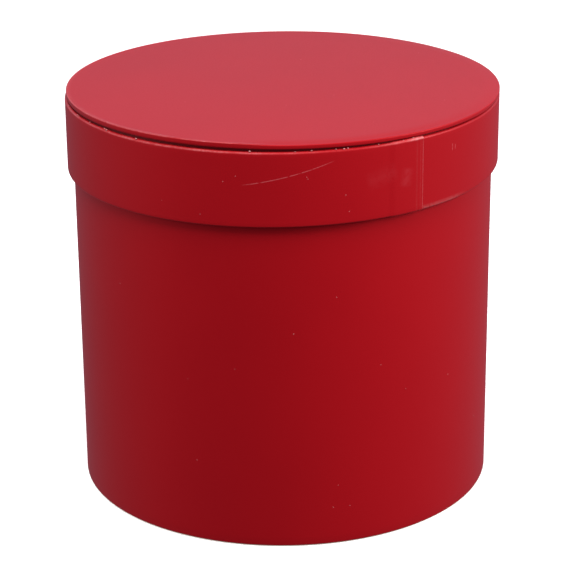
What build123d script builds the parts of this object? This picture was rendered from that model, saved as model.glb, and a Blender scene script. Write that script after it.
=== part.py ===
"""Round flower box with a lift-off lid, in paper-covered greyboard. Millimetres.

The origin is the centre of the underside, +Z points up and -Y is the front.
Every piece is a solid of revolution: a section drawn on the XZ plane and turned about Z.
"""

import os
from math import cos, radians, sin

from build123d import *

os.makedirs("parts", exist_ok=True)

# Driving dimensions
lid_diameter = 200.0
body_diameter = 194.0
overall_height = 189.0
lid_height = 35.8
disc_setback = 0.35  # the lid's disc stops this far inside the band's outer face

wall_thickness = 1.5  # greyboard of the drum and of the lid's band
disc_thickness = 2.0  # greyboard of the lid's disc and of the base
paper = 0.25  # laminated covering paper
lining = 0.2  # lining paper
glue_film = 0.2  # between the lid's disc and the band's rim

turn_in = 12.0  # covering paper folded over an edge
rim_turn_in = 8.0  # the same inside the top of the lid's band
lining_setback = 4.0  # the lining stops this far short of an open edge
lining_slack = 0.5  # a lining disc is cut this much smaller than the wall round it
lap_angle = 9.0  # overlap of the covering paper where its ends meet
body_lap_start = 100.0  # at the back of the drum
lid_lap_start = -62.0  # at the front right of the lid

rim_radius = 1.1  # outside radius of the paper folded over a rim
foot_radius = 0.7  # the same at a lower edge
inner_radius = 0.45  # the same at an inside corner
disc_edge_radius = 0.8  # the same on the lid's disc

# Heights, from the table up
base_board_bottom = paper
base_board_top = 2 * paper + disc_thickness
band_bottom = overall_height - lid_height
disc_bottom = overall_height - disc_thickness - 2 * paper
rim_top = disc_bottom - glue_film

# Radii, from outside to inside
body_outer = body_diameter / 2
body_tube_outer = body_outer - paper
body_tube_inner = body_tube_outer - wall_thickness
body_inner = body_tube_inner - paper
band_outer = lid_diameter / 2
band_tube_outer = band_outer - paper
band_tube_inner = band_tube_outer - wall_thickness
band_inner = band_tube_inner - paper
disc_outer = band_outer - disc_setback
disc_turn_in_end = disc_outer - turn_in
base_turn_in_end = body_outer - turn_in

# The corners of a board strip, from its lower inside corner round, are eased where paper is folded over them
ring_corner_radii = (inner_radius - paper, foot_radius - paper, rim_radius - paper, inner_radius - paper)
tube_corner_radii = (0, *ring_corner_radii[1:])


def section(corners, corner_radii=0):
    """The cut face of a board, from its corners."""
    with BuildSketch(Plane.XZ) as profile:
        with BuildLine():
            FilletPolyline(*corners, radius=corner_radii, close=True)
        make_face()
    return profile.sketch


def sheet(path, thickness, fold_radii=0):
    """The cut face of a sheet of paper: its outer side follows the path, and it lies on the path's left."""
    with BuildSketch(Plane.XZ) as profile:
        with BuildLine():
            FilletPolyline(*path, radius=fold_radii)
            offset(amount=thickness, side=Side.LEFT, closed=True, kind=Kind.INTERSECTION)
        make_face()
    return profile.sketch


def lap_ply(start_angle, outer, bottom, top):
    """The second ply where a covering paper runs on past its own end."""
    angle = radians(start_angle)
    start = Plane((0, 0, 0), x_dir=(cos(angle), sin(angle), 0), z_dir=(sin(angle), -cos(angle), 0))
    with BuildSketch(start) as ply:
        with Locations((outer - paper / 2, bottom)):
            Rectangle(1.5 * paper, top - bottom, align=Align.MIN)
    revolve(ply.sketch, axis=Axis.Z, revolution_arc=lap_angle)


def finish(piece, name):
    """Label a finished piece and write it out."""
    piece.part.label = name
    export_step(piece.part, f"parts/{name}.step")


# Box body ---------------------------------------------------------------------------------------

# Greyboard tube, with its edges eased where the covering paper is pulled over them
with BuildPart() as wall_board:
    tube = [
        (body_tube_inner, 2 * paper),
        (body_tube_outer, 2 * paper),
        (body_tube_outer, rim_top - paper),
        (body_tube_inner, rim_top - paper),
    ]
    revolve(section(tube, tube_corner_radii), axis=Axis.Z)
finish(wall_board, "wall_board")

# Covering paper: under the base, up the outside, over the rim and down inside
with BuildPart() as wall_wrap:
    wrap_path = [
        (base_turn_in_end, paper),
        (body_outer, paper),
        (body_outer, rim_top),
        (body_inner, rim_top),
        (body_inner, rim_top - turn_in),
    ]
    revolve(sheet(wrap_path, paper, (foot_radius, rim_radius, inner_radius)), axis=Axis.Z)
    lap_ply(body_lap_start, body_outer, paper + foot_radius, rim_top - rim_radius)
finish(wall_wrap, "wall_wrap")

# Greyboard base, its underside eased back by one paper where the wrap is folded under it
with BuildPart() as base_board:
    base_profile = [
        (0, base_board_bottom),
        (base_turn_in_end, base_board_bottom),
        (base_turn_in_end, base_board_bottom + paper),
        (body_tube_inner, base_board_bottom + paper),
        (body_tube_inner, base_board_top),
        (0, base_board_top),
    ]
    revolve(section(base_profile), axis=Axis.Z)
finish(base_board, "base_board")

# Covering paper disc under the base: the face that the box stands on
with BuildPart() as base_cover:
    with BuildSketch():
        Circle(body_outer - lining_setback)
    extrude(amount=paper)
finish(base_cover, "base_cover")

# Lining disc on the inside floor, inside the lining of the wall
with BuildPart() as base_liner:
    with BuildSketch(Plane.XY.offset(base_board_top)):
        Circle(body_tube_inner - lining - lining_slack)
    extrude(amount=lining)
finish(base_liner, "base_liner")

# Lining paper up the inside wall, stepping over the end of the turned-in wrap
with BuildPart() as wall_liner:
    liner_path = [
        (body_tube_inner, base_board_top),
        (body_tube_inner, rim_top - turn_in),
        (body_inner, rim_top - turn_in),
        (body_inner, rim_top - lining_setback),
    ]
    revolve(sheet(liner_path, lining), axis=Axis.Z)
finish(wall_liner, "wall_liner")

# Lid --------------------------------------------------------------------------------------------

# Greyboard ring of the band
with BuildPart() as lid_band_board:
    ring = [
        (band_tube_inner, band_bottom + paper),
        (band_tube_outer, band_bottom + paper),
        (band_tube_outer, rim_top - paper),
        (band_tube_inner, rim_top - paper),
    ]
    revolve(section(ring, ring_corner_radii), axis=Axis.Z)
finish(lid_band_board, "lid_band_board")

# Covering paper of the band, folded over its lower edge and its rim
with BuildPart() as lid_band_wrap:
    band_path = [
        (band_inner, band_bottom + turn_in),
        (band_inner, band_bottom),
        (band_outer, band_bottom),
        (band_outer, rim_top),
        (band_inner, rim_top),
        (band_inner, rim_top - rim_turn_in),
    ]
    band_folds = (inner_radius, foot_radius, rim_radius, inner_radius)
    revolve(sheet(band_path, paper, band_folds), axis=Axis.Z)
    lap_ply(lid_lap_start, band_outer, band_bottom + foot_radius, rim_top - rim_radius)
finish(lid_band_wrap, "lid_band_wrap")

# Lining strip of the band, over both turned-in edges
with BuildPart() as lid_band_liner:
    strip_path = [
        (band_inner, band_bottom + lining_setback),
        (band_inner, band_bottom + turn_in),
        (band_tube_inner, band_bottom + turn_in),
        (band_tube_inner, rim_top - rim_turn_in),
        (band_inner, rim_top - rim_turn_in),
        (band_inner, rim_top - inner_radius),
    ]
    revolve(sheet(strip_path, lining), axis=Axis.Z)
finish(lid_band_liner, "lid_band_liner")

# Greyboard disc that lies on the band's rim
with BuildPart() as lid_disc_board:
    with BuildSketch(Plane.XY.offset(disc_bottom + paper)):
        Circle(disc_outer - paper)
    extrude(amount=disc_thickness)
    fillet(lid_disc_board.edges().filter_by(GeomType.CIRCLE), disc_edge_radius - paper)
finish(lid_disc_board, "lid_disc_board")

# Covering paper of the disc, turned under all round
with BuildPart() as lid_disc_wrap:
    disc_path = [
        (disc_turn_in_end, disc_bottom),
        (disc_outer, disc_bottom),
        (disc_outer, overall_height),
        (0, overall_height),
    ]
    revolve(sheet(disc_path, paper, (disc_edge_radius, disc_edge_radius)), axis=Axis.Z)
finish(lid_disc_wrap, "lid_disc_wrap")

# Lining disc under the lid, over the turned-under edge of the disc's paper
with BuildPart() as lid_disc_liner:
    disc_liner_outer = band_inner - lining_slack
    disc_liner_profile = [
        (0, disc_bottom + paper - lining),
        (disc_turn_in_end - lining, disc_bottom + paper - lining),
        (disc_turn_in_end - lining, disc_bottom - lining),
        (disc_liner_outer, disc_bottom - lining),
        (disc_liner_outer, disc_bottom),
        (disc_turn_in_end, disc_bottom),
        (disc_turn_in_end, disc_bottom + paper),
        (0, disc_bottom + paper),
    ]
    revolve(section(disc_liner_profile), axis=Axis.Z)
finish(lid_disc_liner, "lid_disc_liner")

# Dried glue line between the disc and the band's rim
with BuildPart() as lid_glue:
    glue_inner = band_inner + inner_radius
    glue_outer = band_outer - 0.7 * rim_radius
    with BuildSketch(Plane.XY.offset(rim_top)):
        Circle(glue_outer)
        Circle(glue_inner, mode=Mode.SUBTRACT)
    extrude(amount=glue_film)
finish(lid_glue, "lid_glue")
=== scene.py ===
"""The looks of a round flower box with a lift-off lid: greyboard covered in red laminated paper.

Metres, in the frame of the CAD model: +Z up, -Y the front. An azimuth is measured from the front,
towards the right, as somebody who stands before the box sees it.
"""

import math
import random

import bmesh
import bpy
from mathutils import Matrix, Quaternion, Vector, noise


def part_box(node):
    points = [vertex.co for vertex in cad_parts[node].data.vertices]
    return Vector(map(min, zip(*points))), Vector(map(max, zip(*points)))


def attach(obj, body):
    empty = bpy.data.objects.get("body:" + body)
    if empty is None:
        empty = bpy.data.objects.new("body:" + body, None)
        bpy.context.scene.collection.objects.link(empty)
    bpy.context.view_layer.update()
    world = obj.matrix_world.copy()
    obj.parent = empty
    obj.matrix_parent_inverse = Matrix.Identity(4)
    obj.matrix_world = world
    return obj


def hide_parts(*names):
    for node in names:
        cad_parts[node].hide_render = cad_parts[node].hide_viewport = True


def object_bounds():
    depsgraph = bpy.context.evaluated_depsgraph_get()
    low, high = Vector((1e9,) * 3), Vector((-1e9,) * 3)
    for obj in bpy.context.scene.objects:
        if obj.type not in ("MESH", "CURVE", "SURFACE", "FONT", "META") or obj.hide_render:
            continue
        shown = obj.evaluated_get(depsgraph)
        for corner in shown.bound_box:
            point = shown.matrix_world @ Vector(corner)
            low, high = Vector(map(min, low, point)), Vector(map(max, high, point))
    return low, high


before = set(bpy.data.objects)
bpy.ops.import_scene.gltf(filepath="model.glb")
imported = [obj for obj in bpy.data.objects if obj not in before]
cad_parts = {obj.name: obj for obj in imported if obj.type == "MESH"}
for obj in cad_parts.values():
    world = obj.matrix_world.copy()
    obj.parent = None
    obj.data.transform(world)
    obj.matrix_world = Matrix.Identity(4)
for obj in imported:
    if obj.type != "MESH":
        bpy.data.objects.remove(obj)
cad_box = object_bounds()


# Camera. A long lens, about a metre off and a quarter of a metre above the lid, looks down on the box.
# Its horizon leans by half a degree.
camera_data = bpy.data.cameras.new("camera")
camera_data.lens = 133.0
camera_data.sensor_width = 36.0
camera = bpy.data.objects.new("camera", camera_data)
camera.location = (0, -0.952, 0.444)
camera_aim = Vector((0.0019, 0, 0.0877))
camera_lean = Quaternion((0, 0, 1), math.radians(-0.52))
camera_turn = (camera_aim - camera.location).to_track_quat("-Z", "Y") @ camera_lean
camera.rotation_euler = camera_turn.to_euler()
bpy.context.scene.collection.objects.link(camera)
bpy.context.scene.camera = camera
bpy.context.scene.view_settings.view_transform = "Standard"


# Floor and studio. A wide white table top that neither lights the box nor shows in its satin paper; a
# softbox high in front, one lower on the right, large weak ones further off on the left and behind, and
# an even dim room round them.
def linear(colour):
    """The linear colour of an sRGB hex value such as #9a8f80, with an alpha of 1."""
    channels = [int(colour[place:place + 2], 16) / 255 for place in (1, 3, 5)]
    curved = [c / 12.92 if c <= 0.04045 else ((c + 0.055) / 1.055) ** 2.4 for c in channels]
    return (*curved, 1.0)


def add(tree, kind, inputs, **settings):
    """Add a node: settings are its properties, inputs its sockets' values or the sockets that feed them."""
    node = tree.nodes.new(kind)
    for name, value in settings.items():
        setattr(node, name, value)
    for socket, value in inputs.items():
        if isinstance(value, bpy.types.NodeSocket):
            tree.links.new(value, node.inputs[socket])
        else:
            node.inputs[socket].default_value = value
    return node


def empty_material(name):
    """A material with no nodes in its tree yet."""
    material = bpy.data.materials.new(name)
    material.use_nodes = True
    material.node_tree.nodes.clear()
    return material


def softbox(name, azimuth, elevation, distance, width, height, power):
    """A soft rectangular light that faces the middle of the box."""
    light = bpy.data.lights.new(name, "AREA")
    light.shape = "RECTANGLE"
    light.size = width
    light.size_y = height
    light.energy = power
    lamp = bpy.data.objects.new(name, light)
    turn, rise = math.radians(azimuth), math.radians(elevation)
    away = Vector((math.sin(turn) * math.cos(rise), -math.cos(turn) * math.cos(rise), math.sin(rise)))
    middle = (cad_box[0] + cad_box[1]) / 2
    lamp.location = middle + distance * away
    lamp.rotation_euler = away.to_track_quat("Z", "Y").to_euler()
    lamp.visible_camera = False
    bpy.context.scene.collection.objects.link(lamp)
    return lamp


floor_radius = 40.0
floor_drop = 0.0002  # a hair below the box, so that the two faces don't flicker
floor_mesh = bmesh.new()
bmesh.ops.create_circle(floor_mesh, cap_ends=True, segments=96, radius=floor_radius,
                        matrix=Matrix.Translation((0, 0, -floor_drop)))
floor = bpy.data.objects.new("floor", bpy.data.meshes.new("floor"))
floor_mesh.to_mesh(floor.data)
floor_mesh.free()
floor_paint = empty_material("matt_white_table_top")
floor_shader = add(floor_paint.node_tree, "ShaderNodeBsdfPrincipled",
                   {"Base Color": linear("#f4f4f4"), "Roughness": 1.0, "Specular IOR Level": 0.0,
                    "Emission Color": linear("#fff8e6"), "Emission Strength": 0.4})
add(floor_paint.node_tree, "ShaderNodeOutputMaterial", {"Surface": floor_shader.outputs["BSDF"]})
floor.data.materials.append(floor_paint)
floor.visible_diffuse = False
floor.visible_glossy = False
floor.visible_shadow = False
bpy.context.scene.collection.objects.link(floor)

softbox("front_softbox", -13, 64, 1.1, 0.62, 0.62, 12.0)
softbox("right_softbox", 71, 27, 1.0, 0.5, 0.5, 10.8)
softbox("left_softbox", -80, 16, 2.2, 1.2, 0.9, 15.5)
# The one behind only lifts the dark of the back: it gives the film no gloss.
softbox("back_softbox", 165, 6, 2.4, 1.4, 0.4, 18.0).visible_glossy = False

world = bpy.data.worlds.new("dim_room")
world.use_nodes = True
world.node_tree.nodes.clear()
room_side = add(world.node_tree, "ShaderNodeTexCoord", {})
room_height = add(world.node_tree, "ShaderNodeSeparateXYZ", {"Vector": room_side.outputs["Generated"]})
room_share = add(world.node_tree, "ShaderNodeMapRange",
                 {"Value": room_height.outputs["Z"], "From Min": -0.15, "From Max": 0.15,
                  "To Min": 0.25, "To Max": 0.65})
room_light = add(world.node_tree, "ShaderNodeBackground",
                 {"Color": linear("#e1e6ff"), "Strength": room_share.outputs["Result"]})
add(world.node_tree, "ShaderNodeOutputWorld", {"Surface": room_light.outputs["Background"]})
bpy.context.scene.world = world


# Greyboard of the drum. The tube and the disc of the base are cut from recycled board, glued edge
# to face; paper covers them all over, so they carry the box's stiffness and don't show.
mm = 0.001

greyboard = empty_material("recycled_greyboard")
# Dull warm grey with paler and darker fibre clots, which the eye reads as waste paper pulp.
tree = greyboard.node_tree
place = add(tree, "ShaderNodeTexCoord", {})
clots = add(tree, "ShaderNodeTexNoise",
            {"Vector": place.outputs["Object"], "Scale": 1 / (2.5 * mm), "Detail": 6.0, "Roughness": 0.7})
pulp = add(tree, "ShaderNodeMix",
           {0: clots.outputs["Fac"], 6: linear("#7f766a"), 7: linear("#a89e8f")}, data_type="RGBA")
fuzz = add(tree, "ShaderNodeBump",
           {"Height": clots.outputs["Fac"], "Strength": 0.4, "Distance": 0.1 * mm})
shader = add(tree, "ShaderNodeBsdfPrincipled",
             {"Base Color": pulp.outputs[2], "Normal": fuzz.outputs["Normal"], "Roughness": 0.9, "IOR": 1.45})
add(tree, "ShaderNodeOutputMaterial", {"Surface": shader.outputs["BSDF"]})

for node in ("wall_board", "base_board"):
    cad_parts[node].data.materials.clear()
    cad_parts[node].data.materials.append(greyboard)


# Covering paper of the drum. One sheet of red art paper with a satin film on it, pasted round the
# tube: it starts under the base, goes up the outside and over the rim, and ends inside. At the back
# its end laps over its beginning.
paper = 0.25 * mm
turn_in = 12 * mm
lap = 9  # degrees that the sheet runs on over its own beginning
lap_end = 360 + lap
drum_lap_start = -170  # azimuth of the sheet's beginning, at the back


def outline(corners, folds, spacing, closed=False):
    """A wire in the XZ plane through corners of (radius, height), with the corners rounded to the folds
    and no two points further apart than the spacing."""
    bm = bmesh.new()
    verts = [bm.verts.new((radius, 0, height)) for radius, height in corners]
    for pair in zip(verts, verts[1:] + verts[:1] if closed else verts[1:]):
        bm.edges.new(pair)
    for vert, fold in zip(verts if closed else verts[1:-1], folds):
        if fold:
            bmesh.ops.bevel(bm, geom=[vert], offset=fold, offset_type="OFFSET", segments=6, profile=0.5,
                            affect="VERTICES", material=-1)
    for edge in [edge for edge in bm.edges if edge.calc_length() > spacing]:
        bmesh.ops.subdivide_edges(bm, edges=[edge], cuts=math.ceil(edge.calc_length() / spacing) - 1)
    return bm


def wind(bm, azimuth, *stretches):
    """Turn a wire round the axis, to the right from an azimuth. A stretch is (degrees, steps). Every point
    keeps how many degrees it was turned, as its "turned" value."""
    bm.verts.layers.float.new("turned")
    row = len(bm.verts)
    first = Matrix.Rotation(math.radians(azimuth - 90), 3, "Z")
    bmesh.ops.rotate(bm, verts=bm.verts, cent=(0, 0, 0), matrix=first)
    last = bm.verts[:] + bm.edges[:]
    angles = [0.0]
    for degrees, steps in stretches:
        spun = bmesh.ops.spin(bm, geom=last, cent=(0, 0, 0), axis=(0, 0, 1), dvec=(0, 0, 0),
                              angle=math.radians(degrees), steps=steps, use_merge=degrees == 360)
        last = spun["geom_last"]
        angles += [angles[-1] + degrees * (step + 1) / steps for step in range(steps)]
    bm.verts.index_update()
    turned = bm.verts.layers.float["turned"]
    for vert in bm.verts:
        vert[turned] = angles[min(vert.index // row, len(angles) - 1)]
    bmesh.ops.remove_doubles(bm, verts=[v for v in bm.verts if v.co.xy.length < 1e-6], dist=1e-6)


def face_out(bm, outwards=True):
    """Make all the faces look away from the axis at their widest, or towards it."""
    bmesh.ops.recalc_face_normals(bm, faces=bm.faces)
    widest = max(bm.faces, key=lambda face: face.calc_center_median().xy.length)
    if (widest.normal.xy.dot(widest.calc_center_median().xy) > 0) != outwards:
        bmesh.ops.reverse_faces(bm, faces=bm.faces)
    bm.normal_update()


def thicken(bm, thickness):
    """Give a sheet its thickness behind its faces; its cut edges take the piece's second material."""
    shown = set(bm.faces)
    border = [edge for edge in bm.edges if edge.is_boundary]
    bmesh.ops.solidify(bm, geom=bm.faces[:], thickness=thickness)
    for edge in border:
        for face in edge.link_faces:
            if face not in shown:
                face.material_index = 1


def piece(bm, name, body, slot, replaced, *materials):
    """Make the object of a finished mesh. It moves with a body and stands for a CAD node."""
    for face in bm.faces:
        face.smooth = True
    mesh = bpy.data.meshes.new(name)
    bm.to_mesh(mesh)
    bm.free()
    mesh.set_sharp_from_angle(angle=math.radians(35))
    for material in materials:
        mesh.materials.append(material)
    made = bpy.data.objects.new(name, mesh)
    bpy.context.scene.collection.objects.link(made)
    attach(made, body)
    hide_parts(replaced)
    return made


def azimuth_of(point):
    """Degrees from the front, towards the right."""
    return math.degrees(math.atan2(point.x, -point.y))


def ease(value, start, end):
    """0 before the start, 1 after the end and a smooth rise between them."""
    share = min(max((value - start) / (end - start), 0.0), 1.0)
    return share * share * (3 - 2 * share)


def wavy(point, wavelength, seed=0.0):
    """A smooth swing between 0 and 1 over a real distance, different for each seed."""
    return 0.5 + 0.5 * noise.noise(point / wavelength + Vector((seed, 0, 0)))


def laminated_paper(name):
    """Red art paper under a satin film. It returns the material, its colour and its shader, so that a
    piece can add its own marks."""
    material = empty_material(name)
    tree = material.node_tree
    place = add(tree, "ShaderNodeTexCoord", {})
    # The ink lies a little thicker in some places than in others, over a few centimetres.
    clouds = add(tree, "ShaderNodeTexNoise",
                 {"Vector": place.outputs["Object"], "Scale": 1 / (45 * mm), "Detail": 2.0})
    ink = add(tree, "ShaderNodeMix",
              {0: clouds.outputs["Fac"], 6: linear("#920911"), 7: linear("#980b12")}, data_type="RGBA")
    # Along hard folds and over grains of dust the colour is mixed towards a pale pink, in patches: partly
    # film that crazed and whitened, partly a painted highlight on the folds and grains.
    wear_and_highlight = add(tree, "ShaderNodeAttribute", {}, attribute_name="wear_and_highlight")
    pale_patches = add(tree, "ShaderNodeTexNoise",
                  {"Vector": place.outputs["Object"], "Scale": 1 / (1.2 * mm), "Detail": 3.0})
    broken = add(tree, "ShaderNodeMapRange",
                 {"Value": pale_patches.outputs["Fac"], "From Min": 0.3, "From Max": 0.7, "To Min": 0.3})
    whitening_and_highlight = add(tree, "ShaderNodeMath",
                    {0: wear_and_highlight.outputs["Fac"], 1: broken.outputs["Result"]}, operation="MULTIPLY")
    # The pale pink is partly whitened film and partly painted highlight.
    colour = add(tree, "ShaderNodeMix",
                 {0: whitening_and_highlight.outputs["Value"], 6: ink.outputs[2], 7: linear("#e8a7a5")}, data_type="RGBA")
    # The film follows the paper's tooth, drawn at 0.8 mm so that it shows.
    tooth = add(tree, "ShaderNodeTexNoise",
                {"Vector": place.outputs["Object"], "Scale": 1 / (0.8 * mm), "Detail": 2.0})
    shine = add(tree, "ShaderNodeMapRange",
                {"Value": tooth.outputs["Fac"], "To Min": 0.38, "To Max": 0.46})
    relief = add(tree, "ShaderNodeBump",
                 {"Height": tooth.outputs["Fac"], "Strength": 0.15, "Distance": 0.02 * mm})
    # Seen square on, the film hardly shines but for a red gleam from the ink; at a low angle it greys.
    shader = add(tree, "ShaderNodeBsdfPrincipled",
                 {"Base Color": colour.outputs[2], "Roughness": shine.outputs["Result"],
                  "Normal": relief.outputs["Normal"], "IOR": 1.45, "Specular Tint": linear("#ff6c72")})
    add(tree, "ShaderNodeOutputMaterial", {"Surface": shader.outputs["BSDF"]})
    return material, colour.outputs[2], shader


def dust(bm, place, outward, width, height):
    """A grain of dust caught under the film: a low dome that stands out of the sheet. Its film is painted
    pale, partly whitened and partly a painted highlight on the dome.
    """
    wear_and_highlight = bm.verts.layers.float["wear_and_highlight"]
    stand = outward.to_track_quat("Z", "Y").to_matrix().to_4x4()
    form = Matrix.Translation(place) @ stand @ Matrix.Diagonal((width / 2, width / 2, height, 1))
    for vert in bmesh.ops.create_icosphere(bm, subdivisions=2, radius=1, matrix=form)["verts"]:
        # Painted pale: partly whitened film, partly painted highlight.
        vert[wear_and_highlight] = 0.45


def at(azimuth, radius, height):
    """The point at an azimuth, a radius and a height."""
    turn = math.radians(azimuth)
    return Vector((radius * math.sin(turn), -radius * math.cos(turn), height))


red_paper, *_ = laminated_paper("red_laminated_paper")

# The paper is white inside, and shows that at its cut edges as a hairline.
paper_core = empty_material("white_paper_core")
tree = paper_core.node_tree
place = add(tree, "ShaderNodeTexCoord", {})
fibres = add(tree, "ShaderNodeTexNoise",
             {"Vector": place.outputs["Object"], "Scale": 1 / (0.5 * mm), "Detail": 3.0})
fibre_colour = add(tree, "ShaderNodeMix",
                   {0: fibres.outputs["Fac"], 6: linear("#b98a86"), 7: linear("#dcc4bf")}, data_type="RGBA")
shader = add(tree, "ShaderNodeBsdfPrincipled",
             {"Base Color": fibre_colour.outputs[2], "Roughness": 0.85, "IOR": 1.45})
add(tree, "ShaderNodeOutputMaterial", {"Surface": shader.outputs["BSDF"]})

drum_low, drum_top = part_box("wall_wrap")
drum_outer = drum_top.x
drum_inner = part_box("wall_liner")[1].x - paper  # the face of the paper that is turned in
cover_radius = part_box("base_cover")[1].x  # the lap lies flat where the disc under the base covers it
foot_fold = 0.7 * mm
rim_fold = 1.1 * mm
inner_fold = 0.45 * mm

wall_wrap = outline([(drum_outer - turn_in, drum_low.z), (drum_outer, drum_low.z), (drum_outer, drum_top.z),
                     (drum_inner, drum_top.z), (drum_inner, drum_top.z - turn_in)],
                    [foot_fold, rim_fold, inner_fold], 4 * mm)
wind(wall_wrap, drum_lap_start, (lap_end - 3, lap_end - 3), (3, 20))
wear_and_highlight = wall_wrap.verts.layers.float.new("wear_and_highlight")
face_out(wall_wrap)
turned = wall_wrap.verts.layers.float["turned"]
for vert in wall_wrap.verts:
    inside = vert.co.xy.length < drum_inner + inner_fold / 2 and vert.co.z > drum_top.z / 2
    over = ease(vert[turned], 359.2, 360) * (1 - 0.5 * ease(vert[turned], lap_end - 0.6, lap_end))
    # The cut end of the sheet is painted paler in a thin line, partly a painted highlight.
    vert[wear_and_highlight] = 0.16 * ease(vert[turned], lap_end - 0.3, lap_end - 0.05)
    lift = (0.5 if inside else 1.0) * paper * over
    if vert.normal.z < -0.9:
        lift *= 0.6 * ease(vert.co.xy.length, cover_radius - mm, cover_radius + mm)
    if vert.co.xy.length > drum_outer - foot_fold and not inside:
        lift += 0.08 * mm * wavy(vert.co, 30 * mm)
    vert.co += lift * vert.normal
    vert.co.z = max(vert.co.z, 0.0)
thicken(wall_wrap, paper)
# A few grains were caught at the front, and more all round the back.
front_dice = random.Random(3)
drum_dust = [(front_dice.uniform(-50, 50), front_dice.uniform(10, 135)) for _ in range(12)]
dice = random.Random(11)
drum_dust += [(dice.uniform(65, 295), dice.uniform(10, 145)) for _ in range(26)]
for azimuth, height in drum_dust:
    grain_place = at(azimuth, drum_outer + 0.04 * mm, height * mm)
    dust(wall_wrap, grain_place, at(azimuth, 1, 0), width=0.42 * mm, height=0.1 * mm)
piece(wall_wrap, "drum_covering_paper", "box_body", "red_paper", "wall_wrap", red_paper, paper_core)


# Underside. A disc of the same red paper is pasted under the base, over the turned-in edge of the
# covering paper: the box stands on it.
cover_low, cover_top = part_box("base_cover")
base_cover = outline([(0, cover_top.z), (cover_top.x, cover_top.z), (cover_top.x, cover_low.z),
                      (0, cover_low.z)], [0, 0.08 * mm], 6 * mm)
wind(base_cover, 0, (360, 240))
face_out(base_cover)
for face in base_cover.faces:
    face.material_index = 1 if abs(face.normal.z) < 0.4 else 0
piece(base_cover, "underside_paper", "box_body", "red_paper", "base_cover", red_paper, paper_core)


# Lining of the drum. Uncoated cream paper: a strip pasted round the wall, which stops a little below
# the rim and laps at the back, and a disc on the floor.
lining = 0.2 * mm
lining_lap_start = 150  # azimuth of a lining's beginning, at the back
step = 0.3 * mm  # half the height over which a lining steps past a turned-in edge

lining_paper = empty_material("uncoated_cream_lining_paper")
# Flat and dry, with a faint cloud of fibres and a fine tooth that only shows in raking light.
tree = lining_paper.node_tree
place = add(tree, "ShaderNodeTexCoord", {})
fibres = add(tree, "ShaderNodeTexNoise",
             {"Vector": place.outputs["Object"], "Scale": 1 / (4 * mm), "Detail": 6.0, "Roughness": 0.65})
cream = add(tree, "ShaderNodeMix",
            {0: fibres.outputs["Fac"], 6: linear("#d8cfbe"), 7: linear("#e6dfd0")}, data_type="RGBA")
nap = add(tree, "ShaderNodeTexNoise",
          {"Vector": place.outputs["Object"], "Scale": 1 / (0.7 * mm), "Detail": 3.0})
relief = add(tree, "ShaderNodeBump", {"Height": nap.outputs["Fac"], "Strength": 0.3, "Distance": 0.03 * mm})
shader = add(tree, "ShaderNodeBsdfPrincipled",
             {"Base Color": cream.outputs[2], "Normal": relief.outputs["Normal"],
              "Roughness": 0.8, "IOR": 1.45})
add(tree, "ShaderNodeOutputMaterial", {"Surface": shader.outputs["BSDF"]})

liner_low, liner_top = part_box("wall_liner")
liner_face = liner_top.x - lining
step_height = drum_top.z - turn_in
wall_liner = outline([(liner_face, liner_low.z + lining), (liner_face, step_height - step),
                      (liner_face - paper, step_height + step), (liner_face - paper, liner_top.z)],
                     [0, 0], 6 * mm)
wind(wall_liner, lining_lap_start, (366, 366))
face_out(wall_liner, outwards=False)
turned = wall_liner.verts.layers.float["turned"]
for vert in wall_liner.verts:
    over = ease(vert[turned], 359, 360)
    vert.co += (lining * over + 0.05 * mm * wavy(vert.co, 25 * mm, 5)) * vert.normal
thicken(wall_liner, lining)
piece(wall_liner, "drum_lining", "box_body", "lining_paper", "wall_liner", lining_paper, lining_paper)

floor_low, floor_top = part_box("base_liner")
base_liner = outline([(0, floor_low.z), (floor_top.x, floor_low.z), (floor_top.x, floor_top.z),
                      (0, floor_top.z)], [0, 0.06 * mm], 6 * mm)
wind(base_liner, 0, (360, 240))
face_out(base_liner)
piece(base_liner, "floor_lining", "box_body", "lining_paper", "base_liner", lining_paper)


# Band of the lid: its board. A strip of greyboard bent into a ring. It was cut a little deeper on one
# side, so that its lower edge runs downhill to the front left, and its rim dips there as well.
band_low, band_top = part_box("lid_band_wrap")
band_outer = band_top.x
band_tube_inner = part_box("lid_band_liner")[1].x
band_inner = band_tube_inner - paper


def rim_dip(point):
    """How far the hand-cut rim is below a level one."""
    slope = 0.28 - 0.28 * point.x / band_outer - 0.57 * point.y / band_outer
    kink = ease(azimuth_of(point), -50, -47) * (1 - ease(azimuth_of(point), -4, 12))
    return (max(0.0, slope - 0.04) + 0.15 * kink) * mm


def hand_cut(bm):
    """Move the points of a level band to where the hand-cut one has them."""
    for vert in bm.verts:
        edge = (0.05 + 1.25 * vert.co.x / band_outer + 1.05 * vert.co.y / band_outer) * mm
        share = (vert.co.z - band_low.z) / (band_top.z - band_low.z)
        vert.co.z += (1 - share) * edge - share * rim_dip(vert.co)


band_board = outline([(band_tube_inner, band_low.z + paper), (band_outer - paper, band_low.z + paper),
                      (band_outer - paper, band_top.z - paper), (band_tube_inner, band_top.z - paper)],
                     [inner_fold - paper, foot_fold - paper, rim_fold - paper, inner_fold - paper],
                     6 * mm, closed=True)
wind(band_board, 0, (360, 240))
hand_cut(band_board)
face_out(band_board)
piece(band_board, "band_board", "lid", "greyboard", "lid_band_board", greyboard)


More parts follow.
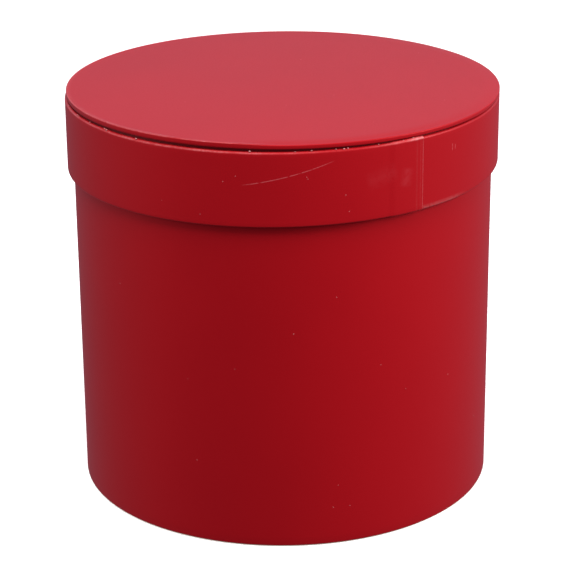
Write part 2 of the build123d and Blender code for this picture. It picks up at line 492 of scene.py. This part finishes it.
# Band of the lid: its covering paper. It goes round once and laps over itself at the front right. The
# outer ply ends in a pressed line, and stands up a little where it is folded over the rim. Handling
# has left a long scratch across the front and a few small scuffs.
scuffed_paper, plain_colour, shader = laminated_paper("red_laminated_paper_scuffed")
tree = scuffed_paper.node_tree
place = add(tree, "ShaderNodeTexCoord", {})
axes = add(tree, "ShaderNodeSeparateXYZ", {"Vector": place.outputs["Object"]})
front = add(tree, "ShaderNodeMath", {0: axes.outputs["Y"], 1: -1.0}, operation="MULTIPLY")
azimuth = add(tree, "ShaderNodeMath",
              {0: axes.outputs["X"], 1: front.outputs["Value"]}, operation="ARCTAN2")
around = add(tree, "ShaderNodeMath",
             {0: azimuth.outputs["Value"], 1: band_outer}, operation="MULTIPLY")
unrolled = add(tree, "ShaderNodeCombineXYZ", {"X": around.outputs["Value"], "Y": axes.outputs["Z"]})


def scratch(azimuth, height, lean, length, width, bend=0.0):
    """A mark on the unrolled band, 1 along its middle and 0 past its edges and ends. Its bend is how far
    the ends lie above its middle."""
    middle = (math.radians(azimuth) * band_outer, height, 0)
    own = add(tree, "ShaderNodeMapping",
              {"Vector": unrolled.outputs["Vector"], "Location": middle,
               "Rotation": (0, 0, math.radians(lean)), "Scale": (length / 2, width / 2, 1)},
              vector_type="TEXTURE")
    sides = add(tree, "ShaderNodeSeparateXYZ", {"Vector": own.outputs["Vector"]})
    along = add(tree, "ShaderNodeMath", {0: sides.outputs["X"], 1: sides.outputs["X"]}, operation="MULTIPLY")
    across = add(tree, "ShaderNodeMath",
                 {0: along.outputs["Value"], 1: -2 * bend / width, 2: sides.outputs["Y"]},
                 operation="MULTIPLY_ADD")
    off = add(tree, "ShaderNodeMath", {0: across.outputs["Value"]}, operation="ABSOLUTE")
    narrow = add(tree, "ShaderNodeMapRange",
                 {"Value": off.outputs["Value"], "To Min": 1.0, "To Max": 0.0})
    short = add(tree, "ShaderNodeMapRange",
                {"Value": along.outputs["Value"], "From Min": 0.5, "To Min": 1.0, "To Max": 0.0})
    return add(tree, "ShaderNodeMath",
               {0: narrow.outputs["Result"], 1: short.outputs["Result"]}, operation="MULTIPLY")


def mark(colour, depth, tone, *shape, **bent):
    """Lay a scratch over a colour, broken up by the grain of whatever made it."""
    grain = add(tree, "ShaderNodeTexNoise",
                {"Vector": place.outputs["Object"], "Scale": 1 / (1.5 * mm), "Detail": 4.0})
    strength = add(tree, "ShaderNodeMapRange",
                   {"Value": grain.outputs["Fac"], "From Min": 0.3, "From Max": 0.5, "To Max": depth})
    share = add(tree, "ShaderNodeMath",
                {0: scratch(*shape, **bent).outputs["Value"], 1: strength.outputs["Result"]},
                operation="MULTIPLY")
    return add(tree, "ShaderNodeMix",
               {0: share.outputs["Value"], 6: colour, 7: linear(tone)}, data_type="RGBA").outputs[2]


# The long scratch rises to the right, a pair of nicks stands beyond the lap, and there is one dull
# smudge on the lap and another where it begins.
marked = mark(plain_colour, 0.42, "#d9787a", 1.3, 174.9 * mm, 14.3, 42 * mm, 0.5 * mm, bend=1.1 * mm)
marked = mark(marked, 0.36, "#d9787a", 47.4, 177.6 * mm, 90, 3.4 * mm, 0.5 * mm)
marked = mark(marked, 0.36, "#d9787a", 48.5, 177.4 * mm, 90, 2.4 * mm, 0.5 * mm)
marked = mark(marked, 0.1, "#c0545a", 31.8, 169.5 * mm, 80, 9 * mm, 7 * mm)
marked = mark(marked, 0.05, "#c0545a", 25.0, 171.5 * mm, 15, 16 * mm, 10 * mm)
tree.links.new(marked, shader.inputs["Base Color"])

lap_start = 28  # azimuth of the covered end
rim_turn_in = 8 * mm
band_wrap = outline([(band_inner, band_low.z + turn_in), (band_inner, band_low.z), (band_outer, band_low.z),
                     (band_outer, band_top.z), (band_inner, band_top.z),
                     (band_inner, band_top.z - rim_turn_in)],
                    [inner_fold, foot_fold, rim_fold, inner_fold], 1.6 * mm)
wind(band_wrap, lap_start, (lap_end - 3, 488), (3, 20))
wear_and_highlight = band_wrap.verts.layers.float.new("wear_and_highlight")
face_out(band_wrap)
turned = band_wrap.verts.layers.float["turned"]
for vert in band_wrap.verts:
    inside = vert.co.xy.length < band_inner + inner_fold / 2
    past_lap = vert[turned] - lap
    up_fold = (vert.co.z - band_top.z) / rim_fold + 1
    at_rim = ease(up_fold, 0, 1)
    at_foot = 1 - ease(abs(vert.co.z - band_low.z - 0.5 * mm), 0.1 * mm, 0.45 * mm)
    over = ease(vert[turned], 359.2, 360) * (1 - 0.8 * ease(vert[turned], lap_end - 0.5, lap_end))
    # Along the shoulder of the rim the colour is painted paler, more on the left and most of all up to the
    # lap: a painted highlight, with some whitened film in it ...
    shoulder = ease(up_fold, 0.2, 0.5) * (1 - ease(up_fold, 0.75, 0.98)) * (not inside)
    rim_whitening_and_highlight = 0.04 + 0.16 * ease(past_lap, 180, 290) * (1 - ease(past_lap, 315, 335))
    rim_whitening_and_highlight += 0.28 * ease(vert[turned], 352, lap_end)
    vert[wear_and_highlight] = shoulder * rim_whitening_and_highlight * wavy(vert.co, 6 * mm, 40) * 1.6
    # ... a pale line along the cut end of the outer ply, partly a painted highlight, and two fainter pale
    # lines beside it ...
    for angle, depth in ((lap_end, 0.16), (lap_end - 0.95, 0.025), (lap_end - 2.05, 0.025)):
        vert[wear_and_highlight] += depth * (1 - ease(abs(vert[turned] - angle), 0.05, 0.3)) * (not inside)
    # ... and a painted highlight along the lower edge just past the lap.
    vert[wear_and_highlight] += 0.16 * at_foot * ease(past_lap, -0.5, 0.5) * (1 - ease(past_lap, 10, 18)) * (not inside)
    lift = (0.5 if inside else 1.0) * paper * over
    if not inside:
        lift += 0.05 * mm * (wavy(vert.co, 25 * mm, 10) - 1)
        lift += 0.15 * mm * at_rim * wavy(vert.co, 9 * mm, 20)
        lift += 0.3 * mm * at_rim * ease(vert[turned], 353, lap_end - 0.5)
    vert.co += lift * vert.normal
hand_cut(band_wrap)
thicken(band_wrap, paper)
band_dust = [(front_dice.uniform(-40, 24), front_dice.uniform(156, 176)) for _ in range(8)]
band_dust += [(dice.uniform(95, 175), dice.uniform(158, 182)) for _ in range(5)]
band_dust += [(dice.uniform(185, 265), dice.uniform(158, 182)) for _ in range(5)]
for azimuth, height in band_dust:
    grain_place = at(azimuth, band_outer - 0.03 * mm, height * mm)
    dust(band_wrap, grain_place, at(azimuth, 1, 0), width=0.4 * mm, height=0.08 * mm)
piece(band_wrap, "band_covering_paper", "lid", "red_paper", "lid_band_wrap", scuffed_paper, paper_core)


# Band of the lid: its lining. A strip of the cream paper is pasted round the inside, over both
# turned-in edges of the red sheet, and laps at the back.
strip_low, strip_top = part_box("lid_band_liner")
strip_face = band_tube_inner - lining
strip_setback = 1.0 * mm  # the strip's upper edge lies this far below that of the CAD strip
lower_step = band_low.z + turn_in
upper_step = band_top.z - rim_turn_in
band_liner = outline([(strip_face - paper, strip_low.z), (strip_face - paper, lower_step - step),
                      (strip_face, lower_step + step), (strip_face, upper_step - step),
                      (strip_face - paper, upper_step + step),
                      (strip_face - paper, strip_top.z - strip_setback)], [0, 0, 0, 0], 4 * mm)
wind(band_liner, lining_lap_start, (366, 366))
face_out(band_liner, outwards=False)
turned = band_liner.verts.layers.float["turned"]
for vert in band_liner.verts:
    vert.co += lining * ease(vert[turned], 359, 360) * vert.normal
hand_cut(band_liner)
thicken(band_liner, lining)
piece(band_liner, "band_lining", "lid", "lining_paper", "lid_band_liner", lining_paper, lining_paper)


# Disc of the lid: its board, cut slightly smaller than the band and glued on its rim by eye, a little
# to the right of its middle. From the front round to the right its upper edge was crushed to a slope.
disc_low, disc_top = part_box("lid_disc_wrap")
disc_outer = disc_top.x
disc_shift = Vector((0.35 * mm, 0, 0))
crushed_width = 2.4 * mm
crushed_depth = 0.55 * mm


def lay_disc(bm):
    """Crush the upper edge of a disc and move it to where it was glued."""
    for vert in bm.verts:
        turn = azimuth_of(vert.co)
        soft = ease(turn, -12, 0) * (1 - ease(turn, 120, 170))
        edge = min(max((vert.co.xy.length - disc_outer) / crushed_width + 1, 0.0), 1.0)
        share = (vert.co.z - disc_low.z) / (disc_top.z - disc_low.z)
        vert.co.z -= soft * share * crushed_depth * edge ** 2
    bmesh.ops.translate(bm, verts=bm.verts, vec=disc_shift)


disc_board = outline([(0, disc_low.z + paper), (disc_outer - paper, disc_low.z + paper),
                      (disc_outer - paper, disc_top.z - paper),
                      (disc_outer - crushed_width, disc_top.z - paper),
                      (0, disc_top.z - paper)], [0.55 * mm, 0.2 * mm, 0], 8 * mm)
wind(disc_board, 0, (360, 360))
face_out(disc_board)
lay_disc(disc_board)
piece(disc_board, "disc_board", "lid", "greyboard", "lid_disc_board", greyboard)


# Disc of the lid: its covering paper. A round of the red sheet is pulled over the edge of the board and
# pasted under it, where the lining hides its end.
disc_wrap = outline([(disc_outer - turn_in, disc_low.z), (disc_outer, disc_low.z), (disc_outer, disc_top.z),
                     (disc_outer - crushed_width, disc_top.z), (0, disc_top.z)],
                    [0.8 * mm, 0.4 * mm, 0], 5 * mm)
wind(disc_wrap, 0, (360, 480))
wear_and_highlight = disc_wrap.verts.layers.float.new("wear_and_highlight")
face_out(disc_wrap)
for vert in disc_wrap.verts:
    # Along the upper edge, where that is still sharp, the colour is painted paler as a thin highlight, with
    # some whitened film in it; and the sheet lies a trifle uneven.
    turn = azimuth_of(vert.co)
    sharp = 1 - ease(turn, -14, -4) * (1 - ease(turn, 130, 170))
    crest = ease(vert.co.z, disc_top.z - 0.4 * mm, disc_top.z - 0.1 * mm)
    crest *= ease(vert.co.xy.length, disc_outer - 0.45 * mm, disc_outer - 0.3 * mm)
    vert[wear_and_highlight] = 0.36 * sharp * crest * wavy(vert.co, 7 * mm, 60)
    if vert.co.z > disc_top.z - 0.01 * mm:
        vert.co.z -= (0.05 + 0.06 * wavy(vert.co, 30 * mm, 70)) * mm
lay_disc(disc_wrap)
thicken(disc_wrap, paper)
disc_dust = [(front_dice.uniform(-180, 180), front_dice.uniform(10, 85)) for _ in range(7)]
for azimuth, radius in disc_dust:
    grain_place = at(azimuth, radius * mm, disc_top.z - 0.09 * mm)
    dust(disc_wrap, grain_place, Vector((0, 0, 1)), width=0.6 * mm, height=0.07 * mm)
piece(disc_wrap, "disc_covering_paper", "lid", "red_paper", "lid_disc_wrap", red_paper, paper_core)


# Disc of the lid: its lining. A round of the cream paper is pasted under the disc, over the
# turned-under end of the red sheet, and fits inside the band.
under_low, under_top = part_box("lid_disc_liner")
under_step = disc_outer - turn_in
disc_liner = outline([(0, under_top.z), (under_step - 0.5 * mm, under_top.z),
                      (under_step - 0.2 * mm, under_low.z + lining),
                      (under_top.x, under_low.z + lining), (under_top.x, under_low.z),
                      (under_step - 0.3 * mm, under_low.z), (under_step - 0.6 * mm, under_top.z - lining),
                      (0, under_top.z - lining)], [0, 0, 0, 0, 0, 0], 6 * mm)
wind(disc_liner, 0, (360, 240))
face_out(disc_liner)
piece(disc_liner, "disc_lining", "lid", "lining_paper", "lid_disc_liner", lining_paper)


# Glue between the disc and the band's rim, run on hot as a thin film. It fills the gap where the rim dips and
# is painted dark red, a painted shade for the depth of the crease; beads of it, gone cloudy, sit in the
# crease.
glue = empty_material("hot_glue_and_painted_crease_shade")
# A bead is milky and pinkish, with a soft gleam, so that it shows as a pale point.
tree = glue.node_tree
place = add(tree, "ShaderNodeTexCoord", {})
milk = add(tree, "ShaderNodeTexNoise",
           {"Vector": place.outputs["Object"], "Scale": 1 / (0.6 * mm), "Detail": 2.0})
cloud = add(tree, "ShaderNodeMix",
            {0: milk.outputs["Fac"], 6: linear("#963c3c"), 7: linear("#c98a86")}, data_type="RGBA")
thick = add(tree, "ShaderNodeAttribute", {}, attribute_name="bead")
# Off the beads the glue is painted a dark red: painted shade in the crease.
glue_and_crease_shade_colour = add(tree, "ShaderNodeMix",
                  {0: thick.outputs["Fac"], 6: linear("#5a0407"), 7: cloud.outputs[2]}, data_type="RGBA")
shader = add(tree, "ShaderNodeBsdfPrincipled",
             {"Base Color": glue_and_crease_shade_colour.outputs[2], "Roughness": 0.45, "IOR": 1.48,
              "Specular Tint": linear("#ff8c8c")})
add(tree, "ShaderNodeOutputMaterial", {"Surface": shader.outputs["BSDF"]})

glue_low, glue_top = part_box("lid_glue")
glue_inner = band_inner + 0.2 * mm
glue_outer = band_outer - 1.7 * mm
glue_line = outline([(glue_inner, glue_low.z), (glue_outer, glue_low.z),
                     (glue_outer, glue_top.z), (glue_inner, glue_top.z)],
                    [0, 0, 0, 0], 6 * mm, closed=True)
wind(glue_line, 0, (360, 240))
bead = glue_line.verts.layers.float.new("bead")
face_out(glue_line)
for vert in glue_line.verts:
    if vert.co.z < glue_low.z + 0.05 * mm:
        vert.co.z -= rim_dip(vert.co)
glue_beads = [-75, -66, -65, -58, -51, -50, -39, -8, 3, 7, 13, 15, 16, 24, 31, 34, 72]
glue_beads += [dice.uniform(90, 270) for _ in range(14)]
for azimuth in glue_beads:
    spot = at(azimuth, band_outer - dice.uniform(0.45, 0.75) * mm, glue_low.z)
    spot.z += dice.uniform(0.1, 0.4) * mm - rim_dip(spot)
    size = dice.uniform(0.2, 0.36) * mm
    squeezed = Matrix.Translation(spot) @ Matrix.Rotation(math.radians(azimuth), 4, "Z")
    squeezed @= Matrix.Diagonal((size * dice.uniform(1.0, 1.8), size, size, 1))
    for vert in bmesh.ops.create_icosphere(glue_line, subdivisions=2, radius=1, matrix=squeezed)["verts"]:
        vert[bead] = 1.0
piece(glue_line, "lid_glue_line", "lid", "dried_glue", "lid_glue", glue)
